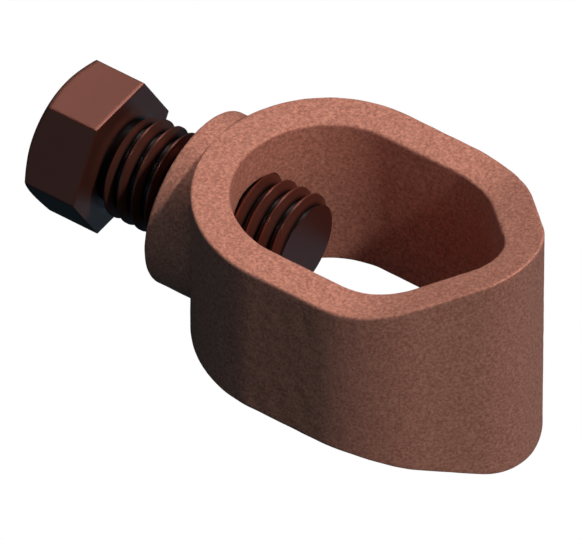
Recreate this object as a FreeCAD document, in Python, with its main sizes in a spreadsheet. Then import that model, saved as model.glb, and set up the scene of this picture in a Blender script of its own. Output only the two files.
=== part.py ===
import FreeCAD, Part
import math
import os

import Sketcher

# A ground clamp: a cast bronze ring with a V nose, and a hexagon-head screw that runs through a
# tapped boss and presses an earth rod and its conductor into the V.
# Frame: the origin is on the axis of the seated rod, level with the screw. X runs along the screw
# towards the nose, Z runs along the rod, and Y is to the left of the screw. Millimetres and degrees.

SIZES = {
    # the ring
    "rod_diameter": 16.0,         # the rod whose seated axis is the origin
    "opening_width": 17.6,        # between the straight inner sides
    "straight_length": 7.3,       # of the straight sides, between the two round stretches
    "nose_radius": 3.5,           # inside the V
    "nose_angle": 90.0,           # between the two flanks of the V
    "wall": 3.6,
    "ring_height": 17.0,          # of the flat part, along the rod
    "nose_height": 25.0,          # at the tip of the nose
    "slope_length": 10.5,         # from the tip of the nose back to the fold in the end faces
    "fold_radius": 16.0,          # with which the end face turns up into its slope
    "edge_radius": 0.25,          # on the cast edges
    # the boss
    "boss_diameter": 17.0,
    "boss_projection": 1.9,       # beyond the round end of the ring
    "mouth_chamfer": 0.45,        # at the mouth of the tapped hole
    # the thread that the boss and the screw share, M10 x 1.5
    "thread_diameter": 10.0,
    "thread_pitch": 1.5,
    "thread_clearance": 0.06,     # radial, between the screw and the tapped hole
    # the screw
    "screw_length": 20.14,        # from the head to the tip
    "head_width": 13.0,           # across the flats
    "head_height": 6.1,
    "head_chamfer_angle": 30.0,
    "under_head_length": 0.4,     # of the cone between the head and the neck
    "neck_width": 0.63,
    "tip_chamfer": 0.7,           # radial, with the slope of a thread flank
    "rest_draw": 8.45,            # from the head to the boss, with the screw drawn out
    # the sealed core of the screw
    "core_diameter": 4.0,
    "core_length": 16.0,
    "core_clearance": 0.05,
}

ISO_DEPTH = 0.61343               # depth of an external ISO thread, in pitches
ISO_BORE_DEPTH = 0.54127          # depth of an internal ISO thread, in pitches
ISO_CREST = 0.125                 # width of an external crest, in pitches
HALF_THREAD_ANGLE = 30.0
OVERRUN = 0.1                     # how far a thread cutter stands clear of the surface it cuts

doc = FreeCAD.newDocument("ground_clamp")
sheet = doc.addObject("Spreadsheet::Sheet", "sizes")
for row, (alias, value) in enumerate(SIZES.items(), start=1):
    sheet.set(f"A{row}", alias)
    sheet.set(f"B{row}", str(value))
    sheet.setAlias(f"B{row}", alias)
doc.recompute()

# Lengths that several features share, as sheet expressions. Each is worked out from the sizes.
AXIS = "0"
INNER = "sizes.opening_width / 2"
OUTER = "(sizes.opening_width / 2 + sizes.wall)"
OUTER_NOSE = "(sizes.nose_radius + sizes.wall)"
SEAT = "sin(sizes.nose_angle / 2 * 1 deg)"
NOSE_X = f"((sizes.rod_diameter / 2 - sizes.nose_radius) / {SEAT})"
CORNER_X = f"({NOSE_X} - (sizes.opening_width / 2 - sizes.nose_radius) / {SEAT})"
BACK_X = f"({CORNER_X} - sizes.straight_length)"
TIP_OF_NOSE = f"({NOSE_X} + {OUTER_NOSE})"
FOLD_X = f"({TIP_OF_NOSE} - sizes.slope_length)"
SLOPE = "((sizes.nose_height - sizes.ring_height) / 2 / sizes.slope_length)"
BOSS_X = f"({BACK_X} - {OUTER} - sizes.boss_projection)"
HEAD_X = f"({BOSS_X} - sizes.rest_draw)"
SCREW_TIP = f"({HEAD_X} + sizes.screw_length)"
CROWN_X = f"({HEAD_X} - sizes.head_height)"
NECK_END = f"({HEAD_X} + sizes.under_head_length + sizes.neck_width)"
THREAD_RADIUS = "(sizes.thread_diameter / 2)"
ROOT_RADIUS = f"({THREAD_RADIUS} - {ISO_DEPTH} * sizes.thread_pitch)"
BORE_RADIUS = (f"({THREAD_RADIUS} - {ISO_BORE_DEPTH} * sizes.thread_pitch"
               " + sizes.thread_clearance)")
FLANK_SLOPE = f"tan({HALF_THREAD_ANGLE} * 1 deg)"          # along X, for each step outwards
ROOT_WIDTH = f"((1 - {ISO_CREST} - 2 * {ISO_DEPTH} * {FLANK_SLOPE}) * sizes.thread_pitch)"
GROOVE_START = f"({NECK_END} - {ROOT_WIDTH} / 2)"          # of the screw's groove


def number(expression):
    """The present value of a sheet expression."""
    result = sheet.evalExpression(expression)
    return float(getattr(result, "Value", result))


def new_body(label):
    body = doc.addObject("PartDesign::Body", label)
    body.Label = label
    return body


def new_sketch(body, name, plane):
    """A sketch on one of the body's own origin planes."""
    sketch = body.newObject("Sketcher::SketchObject", name)
    support = next(f for f in body.Origin.OriginFeatures if f.Role == plane)
    sketch.AttachmentSupport = [(support, "")]
    sketch.MapMode = "FlatFace"
    sketch.Visibility = False
    return sketch


def bind(sketch, kind, *elements_and_expression):
    """Adds a dimension to a sketch and ties it to a sheet expression."""
    *elements, expression = elements_and_expression
    index = sketch.addConstraint(Sketcher.Constraint(kind, *elements, number(expression)))
    sketch.setExpression(f"Constraints[{index}]", expression)


def place(sketch, element, point, across, up):
    """Ties a point of a sketch to two sheet expressions, measured from the sketch's origin."""
    bind(sketch, "DistanceX", -1, 1, element, point, across)
    bind(sketch, "DistanceY", -1, 1, element, point, up)


def polygon(sketch, corners):
    """A closed outline through corners given as pairs of sheet expressions."""
    points = [FreeCAD.Vector(number(across), number(up), 0) for across, up in corners]
    first = sketch.GeometryCount
    count = len(points)
    for i, point in enumerate(points):
        sketch.addGeometry(Part.LineSegment(point, points[(i + 1) % count]), False)
    for i, (across, up) in enumerate(corners):
        sketch.addConstraint(Sketcher.Constraint("Coincident", first + i, 2,
                                                 first + (i + 1) % count, 1))
        place(sketch, first + i, 1, across, up)


def circle(sketch, radius):
    """A circle on the sketch's origin, of a radius given as a sheet expression."""
    centre = FreeCAD.Vector(0, 0, 0)
    index = sketch.addGeometry(Part.Circle(centre, FreeCAD.Vector(0, 0, 1), number(radius)), False)
    sketch.addConstraint(Sketcher.Constraint("Coincident", index, 3, -1, 1))
    bind(sketch, "Radius", index, radius)


def ring_outline(sketch, side, nose):
    """The plan of the ring: a half circle, two straight sides, two round corners, the two flanks
    of the V and its rounded nose, each tangent to the next. side and nose are radii."""
    back, corner, tip = number(BACK_X), number(CORNER_X), number(NOSE_X)
    flank = math.radians(90 - number("sizes.nose_angle") / 2)
    normal = FreeCAD.Vector(0, 0, 1)
    side_radius, nose_radius = number(side), number(nose)

    def on_circle(centre, radius, angle):
        return FreeCAD.Vector(centre + radius * math.cos(angle), radius * math.sin(angle), 0)

    def arc(centre, radius, start, end):
        whole = Part.Circle(FreeCAD.Vector(centre, 0, 0), normal, radius)
        return sketch.addGeometry(Part.ArcOfCircle(whole, start, end), False)

    def line(start, end):
        return sketch.addGeometry(Part.LineSegment(start, end), False)

    quarter = math.pi / 2
    nose_arc = arc(tip, nose_radius, -flank, flank)
    left_flank = line(on_circle(tip, nose_radius, flank), on_circle(corner, side_radius, flank))
    left_corner = arc(corner, side_radius, flank, quarter)
    left_side = line(on_circle(corner, side_radius, quarter), on_circle(back, side_radius, quarter))
    back_arc = arc(back, side_radius, quarter, 3 * quarter)
    right_side = line(on_circle(back, side_radius, -quarter),
                      on_circle(corner, side_radius, -quarter))
    right_corner = arc(corner, side_radius, -quarter, -flank)
    right_flank = line(on_circle(corner, side_radius, -flank), on_circle(tip, nose_radius, -flank))

    loop = [nose_arc, left_flank, left_corner, left_side, back_arc, right_side, right_corner,
            right_flank]
    for this, following in zip(loop, loop[1:] + loop[:1]):
        sketch.addConstraint(Sketcher.Constraint("Tangent", this, 2, following, 1))
    for round_part, radius, centre in ((nose_arc, nose, NOSE_X), (left_corner, side, CORNER_X),
                                       (right_corner, side, CORNER_X), (back_arc, side, BACK_X)):
        place(sketch, round_part, 3, centre, AXIS)
        if round_part in (nose_arc, back_arc):
            bind(sketch, "Radius", round_part, radius)


def folded_end(sketch):
    """The waste above the upper end face: a flat, a rounded fold, and a slope up to the nose."""
    behind = f"({BACK_X} - {OUTER} - sizes.wall)"
    beyond = f"({TIP_OF_NOSE} + sizes.wall)"
    flat = "sizes.ring_height / 2"
    raised = f"{flat} + {SLOPE} * (sizes.slope_length + sizes.wall)"
    clear = "sizes.nose_height"

    slope_angle = math.atan(number(SLOPE))
    radius = number("sizes.fold_radius")
    run_in = radius * math.tan(slope_angle / 2)
    fold = FreeCAD.Vector(number(FOLD_X), number(flat), 0)
    along_slope = FreeCAD.Vector(math.cos(slope_angle), math.sin(slope_angle), 0)
    fold_start = fold - FreeCAD.Vector(run_in, 0, 0)
    fold_end = fold + along_slope * run_in
    centre = fold_start + FreeCAD.Vector(0, radius, 0)
    corners = [FreeCAD.Vector(number(across), number(up), 0)
               for across, up in ((beyond, raised), (beyond, clear), (behind, clear),
                                  (behind, flat))]

    start = -math.pi / 2
    round_fold = Part.ArcOfCircle(Part.Circle(centre, FreeCAD.Vector(0, 0, 1), radius),
                                  start, start + slope_angle)
    arc = sketch.addGeometry(round_fold, False)
    path = [fold_end] + corners + [fold_start]
    lines = [sketch.addGeometry(Part.LineSegment(here, there), False)
             for here, there in zip(path, path[1:])]
    fold_point = sketch.addGeometry(Part.Point(fold), True)

    slope, end, top, back, level = lines
    sketch.addConstraint(Sketcher.Constraint("Tangent", arc, 2, slope, 1))
    for this, following in ((slope, end), (end, top), (top, back), (back, level)):
        sketch.addConstraint(Sketcher.Constraint("Coincident", this, 2, following, 1))
    sketch.addConstraint(Sketcher.Constraint("Tangent", level, 2, arc, 1))
    sketch.addConstraint(Sketcher.Constraint("Horizontal", level))
    sketch.addConstraint(Sketcher.Constraint("PointOnObject", fold_point, 1, slope))
    place(sketch, fold_point, 1, FOLD_X, flat)
    place(sketch, slope, 2, beyond, raised)
    place(sketch, end, 2, beyond, clear)
    place(sketch, top, 2, behind, clear)
    bind(sketch, "DistanceX", -1, 1, back, 2, behind)
    bind(sketch, "Radius", arc, "sizes.fold_radius")


def pad(body, name, sketch, length, midplane=False, backwards=False):
    feature = body.newObject("PartDesign::Pad", name)
    feature.Profile = sketch
    feature.setExpression("Length", length)
    if midplane:
        feature.SideType = "Symmetric"
    feature.Reversed = backwards
    doc.recompute()
    return feature


def pocket_through(body, name, sketch):
    feature = body.newObject("PartDesign::Pocket", name)
    feature.Profile = sketch
    feature.Type = "ThroughAll"
    feature.SideType = "Symmetric"
    doc.recompute()
    return feature


def mirrored(body, name, original, plane):
    feature = body.newObject("PartDesign::Mirrored", name)
    feature.Originals = [original]
    feature.MirrorPlane = (next(f for f in body.Origin.OriginFeatures if f.Role == plane), [""])
    body.Tip = feature
    doc.recompute()
    return feature


def turned(body, kind, name, sketch):
    """A Revolution or a Groove about the X axis, which is the screw's axis."""
    feature = body.newObject(f"PartDesign::{kind}", name)
    feature.Profile = sketch
    feature.ReferenceAxis = (sketch, ["H_Axis"])
    feature.Angle = 360
    doc.recompute()
    return feature


def cut_thread(body, name, centre, inside, outside, inside_width, outside_width, reach):
    """Cuts a right-hand helical groove about the screw's axis.

    The cutter is a four-sided profile on centre, inside_width wide at the radius inside and
    outside_width wide at the radius outside. It starts on the -Y side and runs reach along +X."""
    profile = new_sketch(body, f"{name}_profile", "XY_Plane")
    polygon(profile, [
        (f"{centre} - {inside_width} / 2", f"-1 * {inside}"),
        (f"{centre} + {inside_width} / 2", f"-1 * {inside}"),
        (f"{centre} + {outside_width} / 2", f"-1 * {outside}"),
        (f"{centre} - {outside_width} / 2", f"-1 * {outside}"),
    ])
    doc.recompute()
    feature = body.newObject("PartDesign::SubtractiveHelix", name)
    feature.Profile = profile
    feature.ReferenceAxis = (profile, ["H_Axis"])
    feature.Mode = "pitch-height-angle"
    feature.setExpression("Pitch", "sizes.thread_pitch")
    feature.setExpression("Height", reach)
    feature.LeftHanded = False
    feature.Reversed = False
    doc.recompute()
    return feature


def round_edges(body, name, base, chosen):
    """Rounds the edges of base that the test chosen picks, by the cast edge radius."""
    names = [f"Edge{i}" for i, edge in enumerate(base.Shape.Edges, start=1) if chosen(edge)]
    feature = body.newObject("PartDesign::Fillet", name)
    feature.Base = (base, names)
    feature.setExpression("Radius", "sizes.edge_radius")
    doc.recompute()
    return feature


def middle(edge):
    return edge.valueAt((edge.FirstParameter + edge.LastParameter) / 2)


def on_end_outline(edge):
    """True for the outline edges of the two end faces, but not for the lines across them."""
    first, last = edge.Vertexes[0].Point, edge.Vertexes[-1].Point
    across_the_face = edge.Curve.TypeId == "Part::GeomLine" and abs(first.x - last.x) < 1e-4
    return abs(middle(edge).z) > number("sizes.ring_height") / 2 - 1e-4 and not across_the_face


def on_opening(edge):
    """True for the edges between the opening and the two end faces."""
    point = middle(edge)
    x_on_spine = min(max(point.x, number(BACK_X)), number(NOSE_X))
    from_spine = math.hypot(point.x - x_on_spine, point.y)
    return on_end_outline(edge) and from_spine < number(INNER) + number("sizes.wall") / 4


def make_clamp_body():
    body = new_body("clamp_body")

    plan = new_sketch(body, "ring_plan", "XY_Plane")
    ring_outline(plan, OUTER, OUTER_NOSE)
    pad(body, "ring", plan, "sizes.nose_height * 1.2", midplane=True)

    ends = new_sketch(body, "end_face", "XZ_Plane")
    folded_end(ends)
    upper = pocket_through(body, "upper_end", ends)
    both_ends = mirrored(body, "both_ends", upper, "XY_Plane")
    round_edges(body, "outer_edges", both_ends, on_end_outline)

    boss_circle = new_sketch(body, "boss_circle", "YZ_Plane")
    circle(boss_circle, "sizes.boss_diameter / 2")
    boss_circle.setExpression("AttachmentOffset.Base.z", BOSS_X)
    boss = pad(body, "boss", boss_circle, f"{BACK_X} - {BOSS_X}")
    boss_end = number(BOSS_X)
    round_edges(body, "boss_edge", boss,
                lambda edge: all(abs(vertex.X - boss_end) < 1e-4 for vertex in edge.Vertexes))

    opening_plan = new_sketch(body, "opening_plan", "XY_Plane")
    ring_outline(opening_plan, INNER, "sizes.nose_radius")
    opening = pocket_through(body, "opening", opening_plan)
    round_edges(body, "opening_edges", opening, on_opening)

    # the hole that the thread is cut in, with its chamfered mouth
    hole = new_sketch(body, "tapping_hole", "XZ_Plane")
    mouth = f"({THREAD_RADIUS} + sizes.mouth_chamfer)"
    polygon(hole, [
        (f"{BOSS_X} - {OVERRUN}", AXIS),
        (BACK_X, AXIS),
        (BACK_X, BORE_RADIUS),
        (f"{BOSS_X} + ({mouth} - {BORE_RADIUS})", BORE_RADIUS),
        (BOSS_X, mouth),
        (f"{BOSS_X} - {OVERRUN}", f"{mouth} + {OVERRUN}"),
    ])
    turned(body, "Groove", "tapped_bore", hole)

    # the internal thread: its groove holds the screw's ridge, half a pitch from the screw's groove
    ridge = f"{GROOVE_START} + sizes.thread_pitch / 2"
    phase = f"mod({ridge} - {BOSS_X}; sizes.thread_pitch)"
    crest = f"({ISO_CREST} * sizes.thread_pitch)"
    depth = f"({THREAD_RADIUS} + sizes.thread_clearance - {BORE_RADIUS} + {OVERRUN})"
    cut_thread(
        body, "internal_thread",
        centre=f"({BOSS_X} - 2 * sizes.thread_pitch + {phase})",
        inside=f"({BORE_RADIUS} - {OVERRUN})",
        outside=f"({THREAD_RADIUS} + sizes.thread_clearance)",
        inside_width=f"({crest} + 2 * {FLANK_SLOPE} * {depth})",
        outside_width=crest,
        reach=f"({BACK_X} - {BOSS_X} + sizes.thread_pitch)",
    )
    return body


def make_clamp_screw():
    body = new_body("clamp_screw")

    # the shank, with a neck under the head and a chamfered tip
    shank = new_sketch(body, "shank_half", "XZ_Plane")
    polygon(shank, [
        (HEAD_X, AXIS),
        (SCREW_TIP, AXIS),
        (SCREW_TIP, f"{THREAD_RADIUS} - sizes.tip_chamfer"),
        (f"{SCREW_TIP} - sizes.tip_chamfer * {FLANK_SLOPE}", THREAD_RADIUS),
        (f"{NECK_END} + ({THREAD_RADIUS} - {ROOT_RADIUS}) * {FLANK_SLOPE}", THREAD_RADIUS),
        (NECK_END, ROOT_RADIUS),
        (f"{HEAD_X} + sizes.under_head_length", ROOT_RADIUS),
        (HEAD_X, THREAD_RADIUS),
    ])
    turned(body, "Revolution", "shank", shank)

    # the hexagon, with two of its flats level
    hexagon = new_sketch(body, "hexagon", "YZ_Plane")
    half_width = "sizes.head_width / 2"
    half_side = f"{half_width} * tan(30 deg)"
    polygon(hexagon, [
        (f"-1 * {half_side}", half_width), (half_side, half_width),
        (f"2 * {half_side}", AXIS), (half_side, f"-1 * {half_width}"),
        (f"-1 * {half_side}", f"-1 * {half_width}"), (f"-2 * {half_side}", AXIS),
    ])
    hexagon.setExpression("AttachmentOffset.Base.z", HEAD_X)
    pad(body, "head", hexagon, "sizes.head_height", backwards=True)

    # the turned chamfer on the crown, which leaves the arcs on the six flats
    crown = new_sketch(body, "crown_chamfer", "XZ_Plane")
    face_radius = "(sizes.head_width / 2 * 0.95)"
    outside = "sizes.head_width"
    polygon(crown, [
        (CROWN_X, face_radius),
        (f"{CROWN_X} + ({outside} - {face_radius}) * tan(sizes.head_chamfer_angle * 1 deg)", outside),
        (f"{CROWN_X} - {OVERRUN}", outside),
        (f"{CROWN_X} - {OVERRUN}", face_radius),
    ])
    turned(body, "Groove", "crown", crown)

    # the external thread, whose groove runs out of the neck
    mouth_width = f"((1 - {ISO_CREST}) * sizes.thread_pitch + 2 * {FLANK_SLOPE} * {OVERRUN})"
    cut_thread(
        body, "external_thread",
        centre=GROOVE_START,
        inside=ROOT_RADIUS,
        outside=f"({THREAD_RADIUS} + {OVERRUN})",
        inside_width=ROOT_WIDTH,
        outside_width=mouth_width,
        reach="(sizes.screw_length + sizes.thread_pitch)",
    )

    # the sealed space that the core fills
    space = new_sketch(body, "core_space", "XZ_Plane")
    core_outline(space, "sizes.core_clearance")
    turned(body, "Groove", "core_bore", space)
    return body


def core_outline(sketch, clearance):
    """Half the section of the core, grown by a clearance, in the middle of the screw."""
    middle_x = f"({CROWN_X} + {SCREW_TIP}) / 2"
    reach = f"(sizes.core_length / 2 + {clearance})"
    radius = f"(sizes.core_diameter / 2 + {clearance})"
    polygon(sketch, [
        (f"{middle_x} - {reach}", AXIS), (f"{middle_x} + {reach}", AXIS),
        (f"{middle_x} + {reach}", radius), (f"{middle_x} - {reach}", radius),
    ])


def make_screw_core():
    body = new_body("screw_core")
    half = new_sketch(body, "core_half", "XZ_Plane")
    core_outline(half, clearance="0")
    turned(body, "Revolution", "core", half)
    return body


nodes = [make_clamp_body(), make_clamp_screw(), make_screw_core()]
doc.recompute()

for item in doc.Objects:
    if any(word in str(state) for state in item.State for word in ("Invalid", "Error")):
        raise RuntimeError(f"{item.Name} did not build: {item.State}")
for node in nodes:
    if node.Shape.isNull() or not node.Shape.isValid():
        raise RuntimeError(f"{node.Label} is not a valid solid")

os.makedirs("parts", exist_ok=True)
for node in nodes:
    node.Shape.exportStep(os.path.join("parts", f"{node.Label}.step"))
    print(node.Label, len(node.Shape.Solids), "solid", round(node.Shape.Volume, 2), "mm3")
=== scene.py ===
import math

import bmesh
import bpy
import numpy as np
from mathutils import Matrix, Vector


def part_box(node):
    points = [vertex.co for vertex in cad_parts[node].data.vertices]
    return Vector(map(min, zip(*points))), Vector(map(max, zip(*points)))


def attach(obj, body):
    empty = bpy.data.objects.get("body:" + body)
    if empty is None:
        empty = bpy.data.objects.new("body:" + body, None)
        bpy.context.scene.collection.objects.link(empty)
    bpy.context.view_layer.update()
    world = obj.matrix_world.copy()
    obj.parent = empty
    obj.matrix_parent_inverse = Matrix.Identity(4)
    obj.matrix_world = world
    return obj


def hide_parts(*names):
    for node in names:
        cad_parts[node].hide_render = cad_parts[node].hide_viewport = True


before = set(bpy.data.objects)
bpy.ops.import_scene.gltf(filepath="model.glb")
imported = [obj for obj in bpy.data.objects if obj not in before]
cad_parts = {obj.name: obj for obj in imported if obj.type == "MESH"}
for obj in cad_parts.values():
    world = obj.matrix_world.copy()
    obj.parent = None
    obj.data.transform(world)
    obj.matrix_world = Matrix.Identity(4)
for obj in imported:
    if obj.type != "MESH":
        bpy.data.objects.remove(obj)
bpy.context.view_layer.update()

# A ground clamp: a sand-cast bronze ring with a V nose and a tapped boss, and the hexagon-head
# screw that runs through the boss. X runs along the screw towards the nose and Z along the rod.
# Sizes are in millimetres, and the meshes and places given to Blender in metres.

MM = 0.001
FULL_TURN = 2 * math.pi
QUARTER = math.pi / 2

# the casting
OPENING = 17.6                # between the straight inner sides
STRAIGHT = 7.3                # length of the straight sides
NOSE_RADIUS = 3.5             # inside the V
WALL = 3.6
FLANK = math.radians(45)      # each flank of the V, from the X axis
ROD_RADIUS = 8.0              # of the seated rod, whose axis is the origin
FLAT_LEVEL = 8.5              # half the height of the flat part of the ring
TIP_LEVEL = 12.5              # half the height at the tip of the nose
SLOPE_LENGTH = 10.5           # from the tip of the nose back to the fold
FOLD_RADIUS = 16.0            # with which the end face turns up into its slope
EDGE = 0.25                   # radius on the cast edges
BOSS_RADIUS = 8.5
MOUTH_CHAMFER = 0.45

# the thread, M10 x 1.5, and the screw
THREAD_RADIUS = 5.0
PITCH = 1.5
CLEARANCE = 0.06              # radial, between the screw and the tapped hole
THREAD_DEPTH = 0.61343 * PITCH
BORE_DEPTH = 0.54127 * PITCH
ROOT_RADIUS = THREAD_RADIUS - THREAD_DEPTH
CREST = 0.125 * PITCH
THREAD_SLOPE = math.tan(math.radians(30))
HEAD_WIDTH = 13.0
HEAD_HEIGHT = 6.1
CROWN_SHARE = 0.95            # the flat of the crown, as a share of the width across the flats
CROWN_SLOPE = math.tan(math.radians(30))
UNDER_HEAD = 0.4              # length of the cone between the head and the neck
NECK = 0.63
TIP_CHAMFER = 0.7             # radial, with the slope of a thread flank
NECK_UNDERCUT = 0.02
EASE = 0.07                   # width of the eased edges of the head
THREAD_COLUMNS = 180

# the surfaces
ROOT_SHADE_FULL = ROOT_RADIUS + 0.08     # radius within which the roots of the thread are fully darkened by painted shade
ROOT_SHADE_END = ROOT_RADIUS + 0.40      # radius at which the painted shade in the roots ends
RELIEF = 0.006                # root mean square height of the unevenness that the sand mould leaves
GRAIN = 0.28                  # width of the sand's grains, which are drawn a little coarse
PATCH = 5.0                   # width of the faint patches of colour

# places along X
NOSE_X = (ROD_RADIUS - NOSE_RADIUS) / math.sin(FLANK)
CORNER_X = NOSE_X - (OPENING / 2 - NOSE_RADIUS) / math.sin(FLANK)
BACK_X = CORNER_X - STRAIGHT
FOLD_X = NOSE_X + NOSE_RADIUS + WALL - SLOPE_LENGTH
SLOPE = (TIP_LEVEL - FLAT_LEVEL) / SLOPE_LENGTH
SLOPE_ANGLE = math.atan(SLOPE)
FOLD_START = FOLD_X - FOLD_RADIUS * math.tan(SLOPE_ANGLE / 2)
BOSS_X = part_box("clamp_body")[0].x / MM
CROWN_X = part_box("clamp_screw")[0].x / MM
TIP_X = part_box("clamp_screw")[1].x / MM
HEAD_X = CROWN_X + HEAD_HEIGHT
NECK_END = HEAD_X + UNDER_HEAD + NECK
ROOT_WIDTH = PITCH - CREST - 2 * THREAD_DEPTH * THREAD_SLOPE
GROOVE_X = NECK_END - ROOT_WIDTH / 2  # where the screw's groove starts, on the -Y side


# ---------------------------------------------------------------- meshes

def new_piece(name, points, quads):
    """An object of points in millimetres and four-sided faces. Points that coincide are merged,
    faces that this flattens are dropped, and the rest face outwards."""
    mesh = bpy.data.meshes.new(name)
    mesh.from_pydata((points.reshape(-1, 3) * MM).tolist(), [], quads.tolist())
    piece = bpy.data.objects.new(name, mesh)
    bpy.context.scene.collection.objects.link(piece)
    work = bmesh.new()
    work.from_mesh(mesh)
    bmesh.ops.remove_doubles(work, verts=work.verts, dist=5e-4 * MM)
    bmesh.ops.dissolve_degenerate(work, edges=work.edges, dist=1e-4 * MM)
    bmesh.ops.recalc_face_normals(work, faces=work.faces)
    work.to_mesh(mesh)
    work.free()
    return piece


def grid_quads(rows, columns, wrap_rows=False, shift=0):
    """The faces of a grid whose columns close on themselves. With wrap_rows the last row joins
    the first. With a shift, once round the columns leads to the row that many further on."""
    row = np.arange(rows if wrap_rows else rows - 1 - shift)
    here, column = np.meshgrid(row, np.arange(columns), indexing="ij")
    beside = (column + 1) % columns
    there = here + np.where(beside == 0, shift, 0)
    corners = [(here, column), (there, beside), (there + 1, beside), (here + 1, column)]
    return np.stack([(r % rows) * columns + c for r, c in corners], axis=-1).reshape(-1, 4)


def about_the_axis(x, radius, angles):
    """Points at x and radius about the screw's axis, for whole rows of angles, which start at +Y
    and turn towards +Z."""
    x, radius, angles = np.broadcast_arrays(x, radius, angles)
    return np.stack([x, radius * np.cos(angles), radius * np.sin(angles)], axis=-1)


def turned_piece(name, x, radius, columns):
    """A solid of revolution about the screw's axis, from a profile that starts and ends on it."""
    angles = np.linspace(0, FULL_TURN, columns, endpoint=False)
    points = about_the_axis(x[:, None], radius[:, None], angles)
    return new_piece(name, points, grid_quads(*points.shape[:2]))


def apply_modifiers(piece):
    """Puts the shape that the modifiers give into the piece's own mesh."""
    seen = piece.evaluated_get(bpy.context.evaluated_depsgraph_get())
    mesh = bpy.data.meshes.new_from_object(seen)
    piece.modifiers.clear()
    piece.data = mesh


def combine(piece, other, operation):
    """Joins other to piece, or cuts it away, and removes it."""
    cut = piece.modifiers.new(operation.lower(), "BOOLEAN")
    cut.operation = operation
    cut.solver = "MANIFOLD"
    cut.object = other
    bpy.context.view_layer.update()
    apply_modifiers(piece)
    bpy.data.objects.remove(other)


def crisp(piece, degrees):
    """Smooth shading, but for edges that turn by more than this."""
    piece.data.shade_smooth()
    piece.data.set_sharp_from_angle(angle=math.radians(degrees))


# ---------------------------------------------------------------- the casting

def end_level(x):
    """Half the height of the ring at x: flat, then an arc of a circle, then a straight slope up
    to the tip of the nose."""
    past = np.clip(x - FOLD_START, 0, FOLD_RADIUS * math.sin(SLOPE_ANGLE))
    arc = FOLD_RADIUS - np.sqrt(FOLD_RADIUS ** 2 - past ** 2)
    beyond = np.maximum(x - FOLD_START - past, 0)
    return FLAT_LEVEL + arc + SLOPE * beyond


def half_outline(side, nose):
    """The plan of one side of the ring, from the tip of the nose to the round back: an arc of
    radius nose, a flank tangent to it, an arc of radius side, a straight side and a quarter
    circle. The inner and outer outlines have the same stations."""
    def arc(centre, radius, start, end, count):
        angle = np.linspace(start, end, count, endpoint=False)
        return np.stack([centre + radius * np.cos(angle), radius * np.sin(angle)], axis=1)

    def straight(start, end, count):
        share = np.linspace(0, 1, count, endpoint=False)[:, None]
        return np.array(start) * (1 - share) + np.array(end) * share

    turn = QUARTER - FLANK
    nose_end = (NOSE_X + nose * math.cos(turn), nose * math.sin(turn))
    corner_start = (CORNER_X + side * math.cos(turn), side * math.sin(turn))
    return np.concatenate([
        arc(NOSE_X, nose, 0, turn, 20),
        straight(nose_end, corner_start, 20),
        arc(CORNER_X, side, turn, QUARTER, 38),
        straight((CORNER_X, side), (BACK_X, side), 26),
        arc(BACK_X, side, QUARTER, 2 * QUARTER, 66),
        [[BACK_X - side, 0.0]],
    ])


def whole_outline(side, nose):
    """Both sides of the plan, as one closed loop."""
    half = half_outline(side, nose)
    return np.concatenate([half, half[-2:0:-1] * [1, -1]])


def wall_section():
    """The way round the wall at one station, as three arrays: how far in from the outer face,
    what share of the end level, and how far past it. It goes up the outer face, round an edge,
    across the end, round the next edge, down the inner face, and across the other end."""
    up = np.linspace(-1, 1, 66)
    bend = np.linspace(0, QUARTER, 6)[1:-1]
    across = np.linspace(EDGE, WALL - EDGE, 13)
    end_in = np.concatenate([EDGE * (1 - np.cos(bend)), across, WALL - EDGE * (1 - np.sin(bend))])
    end_past = np.concatenate([EDGE * np.sin(bend), np.full(across.size, EDGE),
                               EDGE * np.cos(bend)])
    inset = np.concatenate([np.zeros(up.size), end_in, np.full(up.size, WALL), end_in[::-1]])
    share = np.concatenate([up, np.ones(end_in.size), -up, -np.ones(end_in.size)])
    past = np.concatenate([np.zeros(up.size), end_past, np.zeros(up.size), -end_past[::-1]])
    return inset, share, past


def uneven(piece, seed):
    """Moves the points of a piece along their normals by the unevenness of a sand mould: a sum
    of sine waves of random directions, with wavelengths from 1.1 to 2.4 mm."""
    count = len(piece.data.vertices)
    points, normals = np.empty(count * 3), np.empty(count * 3)
    piece.data.vertices.foreach_get("co", points)
    piece.data.vertex_normals.foreach_get("vector", normals)
    random = np.random.default_rng(seed)
    waves = random.normal(size=(3, 12))
    waves *= FULL_TURN / (random.uniform(1.1, 2.4, 12) * MM * np.linalg.norm(waves, axis=0))
    phases = random.uniform(0, FULL_TURN, 12)
    height = np.sin(points.reshape(-1, 3) @ waves + phases).sum(axis=1) / math.sqrt(6)
    moved = points.reshape(-1, 3) + normals.reshape(-1, 3) * (RELIEF * MM * height)[:, None]
    piece.data.vertices.foreach_set("co", moved.ravel())
    piece.data.update()
    return piece


def make_ring():
    """The ring: the section of the wall, carried round the plan."""
    outer = whole_outline(OPENING / 2 + WALL, NOSE_RADIUS + WALL)
    inner = whole_outline(OPENING / 2, NOSE_RADIUS)
    inset, share, past = wall_section()
    plan = outer[:, None, :] + (inner - outer)[:, None, :] * (inset / WALL)[None, :, None]
    height = share * (end_level(plan[..., 0]) - EDGE) + past
    points = np.concatenate([plan, height[..., None]], axis=-1)
    return new_piece("clamp_casting", points, grid_quads(*points.shape[:2], wrap_rows=True))


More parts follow.
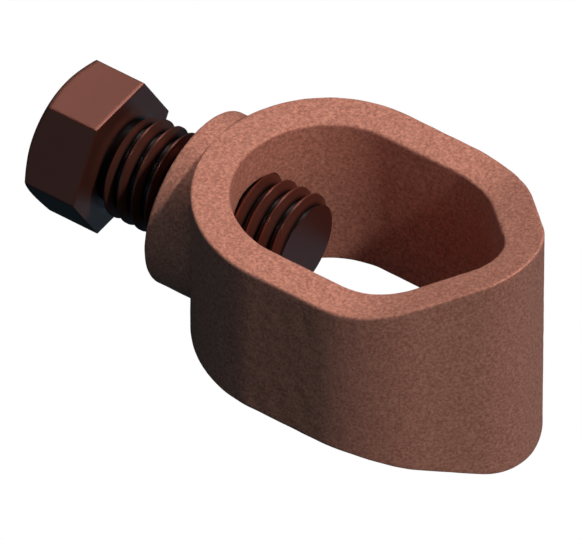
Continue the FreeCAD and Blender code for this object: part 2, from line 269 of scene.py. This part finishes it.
def make_boss():
    """The boss: a short cylinder on the screw's axis with a rounded rim, which ends inside the
    wall of the ring."""
    end = BACK_X - OPENING / 2 - 0.1
    bend = np.linspace(0, QUARTER, 6)[1:]
    face = np.linspace(0, BOSS_RADIUS - EDGE, 28)
    side = np.linspace(BOSS_X + EDGE, end, 20)[1:]
    x = np.concatenate([np.full(face.size, BOSS_X), BOSS_X + EDGE * (1 - np.cos(bend)), side,
                        [end]])
    radius = np.concatenate([face, BOSS_RADIUS - EDGE * (1 - np.sin(bend)),
                             np.full(side.size, BOSS_RADIUS), [0.0]])
    return turned_piece("boss", x, radius, 176)


def make_mouth():
    """The cone that chamfers the mouth of the tapped hole at 45 degrees."""
    reach = THREAD_RADIUS + MOUTH_CHAMFER
    x = BOSS_X + np.array([-1, -1, reach - 1, reach - 1])
    return turned_piece("mouth", x, np.array([0, reach + 1, 1, 0]), 144)


def make_casting():
    """The ring with its boss, tapped for the screw. Both have the same seed, so that they are
    uneven in the same way where they meet."""
    casting = uneven(make_ring(), seed=3)
    combine(casting, uneven(make_boss(), seed=3), "UNION")
    combine(casting, make_mouth(), "DIFFERENCE")
    tap = make_thread("tap", BOSS_X - 1, BACK_X, THREAD_RADIUS - BORE_DEPTH + CLEARANCE,
                      THREAD_RADIUS + CLEARANCE)
    combine(casting, tap, "DIFFERENCE")
    return casting


# ---------------------------------------------------------------- the screw

def make_thread(name, start, end, root, crest):
    """A threaded rod from start to end, as a sheared grid whose rows each follow one helix. The
    radius is crest on the ridge and root in the groove, with flanks at 30 degrees between. Rows
    beyond start or end are held there, and the end faces come to the axis."""
    edge = (PITCH - CREST) / 2
    foot = edge - (crest - root) * THREAD_SLOPE
    half = np.concatenate([[0], np.linspace(foot, edge, 6)])
    marks = np.concatenate([[-PITCH / 2], -half[:0:-1], half])

    turns = math.ceil((end - start) / PITCH) + 6
    first = GROOVE_X + PITCH * (math.floor((start - GROOVE_X) / PITCH) - 2)
    along = (first + PITCH * np.arange(turns)[:, None] + marks).ravel()[:, None]
    angles = np.linspace(0, FULL_TURN, THREAD_COLUMNS, endpoint=False)
    lead = PITCH * (angles / FULL_TURN - 0.5)
    x = np.clip(along + lead, start, end)
    from_groove = np.abs((x - GROOVE_X - lead + PITCH / 2) % PITCH - PITCH / 2)
    radius = np.clip(crest - (edge - from_groove) / THREAD_SLOPE, root, crest)

    caps = (marks.size + 1, angles.size)
    x = np.concatenate([np.full(caps, start), x, np.full(caps, end)])
    radius = np.concatenate([np.zeros(caps), radius, np.zeros(caps)])
    points = about_the_axis(x, radius, angles)
    return new_piece(name, points, grid_quads(*points.shape[:2], shift=marks.size))


def make_blank():
    """What the shank is turned to before its thread is cut: a neck, a cone up to the thread, and
    a chamfered tip. It starts inside the head."""
    neck = ROOT_RADIUS - NECK_UNDERCUT
    x = np.array([HEAD_X - 1, HEAD_X - 1, NECK_END,
                  NECK_END + (THREAD_RADIUS - neck) * THREAD_SLOPE,
                  TIP_X - TIP_CHAMFER * THREAD_SLOPE, TIP_X, TIP_X])
    radius = np.array([0, neck, neck, THREAD_RADIUS, THREAD_RADIUS, THREAD_RADIUS - TIP_CHAMFER, 0])
    return turned_piece("blank", x, radius, THREAD_COLUMNS)


def make_head():
    """The hexagon head, with the cone under it. Its outline lies half the width across the flats
    from the axis, over the cosine of the angle from the middle of the nearest flat. A 30 degree
    cone chamfers the crown, which leaves an arc on each flat."""
    angles = np.linspace(0, FULL_TURN, THREAD_COLUMNS, endpoint=False)
    sixth = FULL_TURN / 6
    from_flat = (angles - QUARTER + sixth / 2) % sixth - sixth / 2
    outline = HEAD_WIDTH / 2 / np.cos(from_flat)
    flat = HEAD_WIDTH / 2 * CROWN_SHARE
    crown_edge = CROWN_X + (outline - flat) * CROWN_SLOPE

    def rows(x_here, x_there, radius_here, radius_there, count):
        share = np.linspace(0, 1, count, endpoint=False)[:, None]
        return (x_here * (1 - share) + x_there * share,
                radius_here * (1 - share) + radius_there * share)

    all_round = np.ones(angles.size)
    cone_end = HEAD_X + UNDER_HEAD
    stretches = [
        rows(CROWN_X * all_round, CROWN_X, 0 * all_round, flat, 12),
        rows(CROWN_X * all_round, crown_edge, flat * all_round, outline, 4),
        rows(crown_edge, HEAD_X, outline, outline, 14),
        rows(HEAD_X * all_round, HEAD_X, outline, THREAD_RADIUS, 4),
        rows(HEAD_X * all_round, cone_end, THREAD_RADIUS * all_round, ROOT_RADIUS, 3),
        rows(cone_end * all_round, cone_end, ROOT_RADIUS * all_round, 0, 8),
        (cone_end * all_round[None, :], 0 * all_round[None, :]),
    ]
    points = about_the_axis(*(np.concatenate(each) for each in zip(*stretches)), angles)
    head = new_piece("clamp_screw_head", points, grid_quads(*points.shape[:2]))
    ease = head.modifiers.new("eased_edges", "BEVEL")
    ease.width = EASE * MM
    ease.segments = 3
    ease.limit_method = "ANGLE"
    ease.angle_limit = math.radians(25)
    apply_modifiers(head)
    return head


def make_screw():
    """The screw: a thread cut on a turned blank, and a hexagon head."""
    screw = make_thread("screw_with_head", HEAD_X - 2, TIP_X + 1, ROOT_RADIUS, THREAD_RADIUS)
    combine(screw, make_blank(), "INTERSECT")
    combine(screw, make_head(), "UNION")
    return screw


# ---------------------------------------------------------------- materials

def linear(code):
    """An sRGB hex colour as linear RGBA."""
    part = [int(code[i:i + 2], 16) / 255 for i in (1, 3, 5)]
    return [p / 12.92 if p <= 0.04045 else ((p + 0.055) / 1.055) ** 2.4 for p in part] + [1.0]


def add(tree, kind, inputs=(), **settings):
    """Adds a node with its settings. inputs pairs its sockets with values, or with outputs of
    other nodes to link."""
    made = tree.nodes.new(kind)
    for name, value in settings.items():
        setattr(made, name, value)
    for name, value in dict(inputs).items():
        if isinstance(value, bpy.types.NodeSocket):
            tree.links.new(value, made.inputs[name])
        else:
            made.inputs[name].default_value = value
    return made


def metal(name, roughness, bare, colour_of):
    """A metal whose surface is bare over this share of it, and dull oxide over the rest.
    colour_of adds its pattern nodes, and returns the sockets of its colour and its normal."""
    material = bpy.data.materials.new(name)
    material.use_nodes = True
    tree = material.node_tree
    tree.nodes.clear()
    place = add(tree, "ShaderNodeTexCoord").outputs["Object"]
    colour, normal = colour_of(tree, place)
    shader = add(tree, "ShaderNodeBsdfPrincipled", {
        "Base Color": colour, "Normal": normal, "Metallic": bare, "Roughness": roughness})
    add(tree, "ShaderNodeOutputMaterial", {"Surface": shader.outputs["BSDF"]})
    return material


def cast_surface(tree, place):
    """Bronze cast in sand, pinkish brown and matt: a fine grain left by the sand, light and dark
    grains in the oxide skin, and faint patches."""
    grain = add(tree, "ShaderNodeTexNoise", {
        "Vector": place, "Scale": 1 / (GRAIN * MM), "Detail": 3.0, "Roughness": 0.7})
    patches = add(tree, "ShaderNodeTexNoise", {
        "Vector": place, "Scale": 1 / (PATCH * MM), "Detail": 2.0})
    skin = add(tree, "ShaderNodeMix", {
        "A": linear("#F29A82"), "B": linear("#FCA38A"), "Factor": patches.outputs["Fac"]},
        data_type="RGBA")
    spread = add(tree, "ShaderNodeMapRange", {
        "Value": grain.outputs["Fac"], "From Min": 0.32, "From Max": 0.68})
    speckled = add(tree, "ShaderNodeMix", {
        "A": linear("#AA6352"), "B": linear("#FFBCA0"), "Factor": spread.outputs["Result"]},
        data_type="RGBA")
    colour = add(tree, "ShaderNodeMix", {
        "A": skin.outputs["Result"], "B": speckled.outputs["Result"], "Factor": 0.7},
        data_type="RGBA")
    bump = add(tree, "ShaderNodeBump", {
        "Height": grain.outputs["Fac"], "Strength": 1.0, "Distance": 0.02 * MM})
    return colour.outputs["Result"], bump.outputs["Normal"]


def turned_surface(tree, place):
    """Bronze turned on a lathe and gone brown: smooth, faintly patchy, with painted shade, a
    near-black darkening, in the roots of the thread, which lie nearest the axis."""
    patches = add(tree, "ShaderNodeTexNoise", {
        "Vector": place, "Scale": 1 / (PATCH * MM), "Detail": 3.0})
    brown = add(tree, "ShaderNodeMix", {
        "A": linear("#6E3D31"), "B": linear("#784336"), "Factor": patches.outputs["Fac"]},
        data_type="RGBA")
    across = add(tree, "ShaderNodeVectorMath", {0: place, 1: (0, 1, 1)}, operation="MULTIPLY")
    radius = add(tree, "ShaderNodeVectorMath", {0: across.outputs[0]}, operation="LENGTH")
    near_root = add(tree, "ShaderNodeMapRange", {
        "Value": radius.outputs["Value"], "From Min": ROOT_SHADE_FULL * MM,
        "From Max": ROOT_SHADE_END * MM, "To Min": 1.0, "To Max": 0.0})
    along = add(tree, "ShaderNodeSeparateXYZ", {0: place})
    on_shank = add(tree, "ShaderNodeMapRange", {
        "Value": along.outputs["X"], "From Min": HEAD_X * MM, "From Max": (HEAD_X + 0.1) * MM})
    before_tip = add(tree, "ShaderNodeMapRange", {
        "Value": along.outputs["X"], "From Min": (TIP_X - 0.02) * MM, "From Max": TIP_X * MM,
        "To Min": 1.0, "To Max": 0.0})
    shank = add(tree, "ShaderNodeMath", {
        0: on_shank.outputs["Result"], 1: before_tip.outputs["Result"]}, operation="MULTIPLY")
    # painted shade: on the shank, the roots of the thread are darkened towards near black
    painted_root_shade = add(tree, "ShaderNodeMath", {
        0: near_root.outputs["Result"], 1: shank.outputs[0]}, operation="MULTIPLY")
    colour = add(tree, "ShaderNodeMix", {
        "A": brown.outputs["Result"], "B": linear("#1E1614"), "Factor": painted_root_shade.outputs[0]},
        data_type="RGBA")
    bump = add(tree, "ShaderNodeBump", {
        "Height": patches.outputs["Fac"], "Strength": 1.0, "Distance": 0.005 * MM})
    return colour.outputs["Result"], bump.outputs["Normal"]


# ---------------------------------------------------------------- the object

# Dull oxide covers about half of the casting and a third of the screw.
sand_cast_bronze = metal("sand_cast_bronze", 0.7, 0.5, cast_surface)
turned_bronze = metal("turned_bronze", 0.36, 0.65, turned_surface)

casting = make_casting()
screw = make_screw()
for piece, body, node, slot, material in (
        (casting, "casting", "clamp_body", "cast_bronze", sand_cast_bronze),
        (screw, "turning_screw", "clamp_screw", "screw_bronze", turned_bronze)):
    piece.data.materials.clear()
    piece.data.materials.append(material)
    crisp(piece, 28)
    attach(piece, body)
    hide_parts(node)
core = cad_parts["screw_core"]
core.data.materials.clear()
core.data.materials.append(turned_bronze)


# ---------------------------------------------------------------- the studio

AZIMUTH = math.radians(34.96)
ELEVATION = math.radians(44.87)
VIEW_WIDTH = 52.08
ASIDE, ABOVE = -10.26, 2.59   # of the middle of the view from the origin
LENS = 1400
SENSOR = 36
FLOOR_Z = -12.45
FLOOR_HALF_WIDTH = 1500.0

WHITE = "#FFFFFF"
COOL = "#98DCFF"

# Each light: its azimuth and elevation, the angle it fills, its strength and its colour.
LIGHTS = {
    "key": (-5, 46, 5, 1.50, WHITE),
    "soft_left": (105, 50, 25, 0.90, WHITE),
    "soft_right": (-35, 30, 30, 0.17, WHITE),
    "soft_back": (157, 35, 30, 0.06, WHITE),
    "glint": (217, 60, 3, 0.07, WHITE),
    "low_front": (245, 9, 25, 0.055, COOL),
    "bounce": (50, -40, 50, 0.12, COOL),
}


def make_camera():
    """A long lens, far off, which looks down on the nose and the right side of the clamp."""
    right = Vector((math.cos(AZIMUTH), math.sin(AZIMUTH), 0))
    ahead = Vector((-math.sin(AZIMUTH) * math.cos(ELEVATION),
                    math.cos(AZIMUTH) * math.cos(ELEVATION), -math.sin(ELEVATION)))
    up = right.cross(ahead)
    target = (up * ABOVE + right * ASIDE) * MM
    place = target - ahead * (VIEW_WIDTH * MM * LENS / SENSOR)

    camera = bpy.data.objects.new("camera", bpy.data.cameras.new("camera"))
    camera.data.lens = LENS
    camera.data.sensor_width = SENSOR
    camera.data.clip_start = 0.1
    camera.data.clip_end = 20
    camera.matrix_world = Matrix((
        (right.x, up.x, -ahead.x, place.x),
        (right.y, up.y, -ahead.y, place.y),
        (right.z, up.z, -ahead.z, place.z),
        (0, 0, 0, 1)))
    return camera


def make_floor():
    """A sheet of evenly lit white paper just under the nose. It throws no light or shadow."""
    half = FLOOR_HALF_WIDTH * MM
    mesh = bpy.data.meshes.new("floor")
    mesh.from_pydata([(-half, -half, FLOOR_Z * MM), (half, -half, FLOOR_Z * MM),
                      (half, half, FLOOR_Z * MM), (-half, half, FLOOR_Z * MM)], [], [(0, 1, 2, 3)])
    paper = bpy.data.materials.new("lit_white_paper")
    paper.use_nodes = True
    paper.node_tree.nodes.clear()
    glow = add(paper.node_tree, "ShaderNodeEmission", {"Color": (1, 1, 1, 1), "Strength": 1.0})
    add(paper.node_tree, "ShaderNodeOutputMaterial", {"Surface": glow.outputs["Emission"]})
    mesh.materials.append(paper)
    floor = bpy.data.objects.new("floor", mesh)
    floor.visible_diffuse = False
    floor.visible_glossy = False
    floor.visible_shadow = False
    return floor


def make_light(name, azimuth, elevation, angle, strength, colour):
    """A distant lamp in the direction of azimuth and elevation, in degrees."""
    lamp = bpy.data.lights.new(name, "SUN")
    lamp.angle = math.radians(angle)
    lamp.energy = strength
    lamp.color = linear(colour)[:3]
    light = bpy.data.objects.new(name, lamp)
    level = math.cos(math.radians(elevation))
    towards = Vector((level * math.cos(math.radians(azimuth)),
                      level * math.sin(math.radians(azimuth)), math.sin(math.radians(elevation))))
    light.rotation_euler = towards.to_track_quat("Z", "Y").to_euler()
    return light


def make_world():
    """White where the camera sees it, and a dim cool fill for everything it lights."""
    world = bpy.data.worlds.new("studio")
    world.use_nodes = True
    tree = world.node_tree
    tree.nodes.clear()
    path = add(tree, "ShaderNodeLightPath")
    seen = add(tree, "ShaderNodeBackground", {"Color": (1, 1, 1, 1), "Strength": 1.0})
    fill = add(tree, "ShaderNodeBackground", {"Color": linear("#94DCFF"), "Strength": 0.03})
    mix = add(tree, "ShaderNodeMixShader", {
        0: path.outputs["Is Camera Ray"], 1: fill.outputs[0], 2: seen.outputs[0]})
    add(tree, "ShaderNodeOutputWorld", {"Surface": mix.outputs[0]})
    return world


scene = bpy.context.scene
scene.view_settings.view_transform = "Standard"
scene.world = make_world()
scene.camera = make_camera()
scene.collection.objects.link(scene.camera)
floor = make_floor()
scene.collection.objects.link(floor)
for name, settings in LIGHTS.items():
    scene.collection.objects.link(make_light(name, *settings))
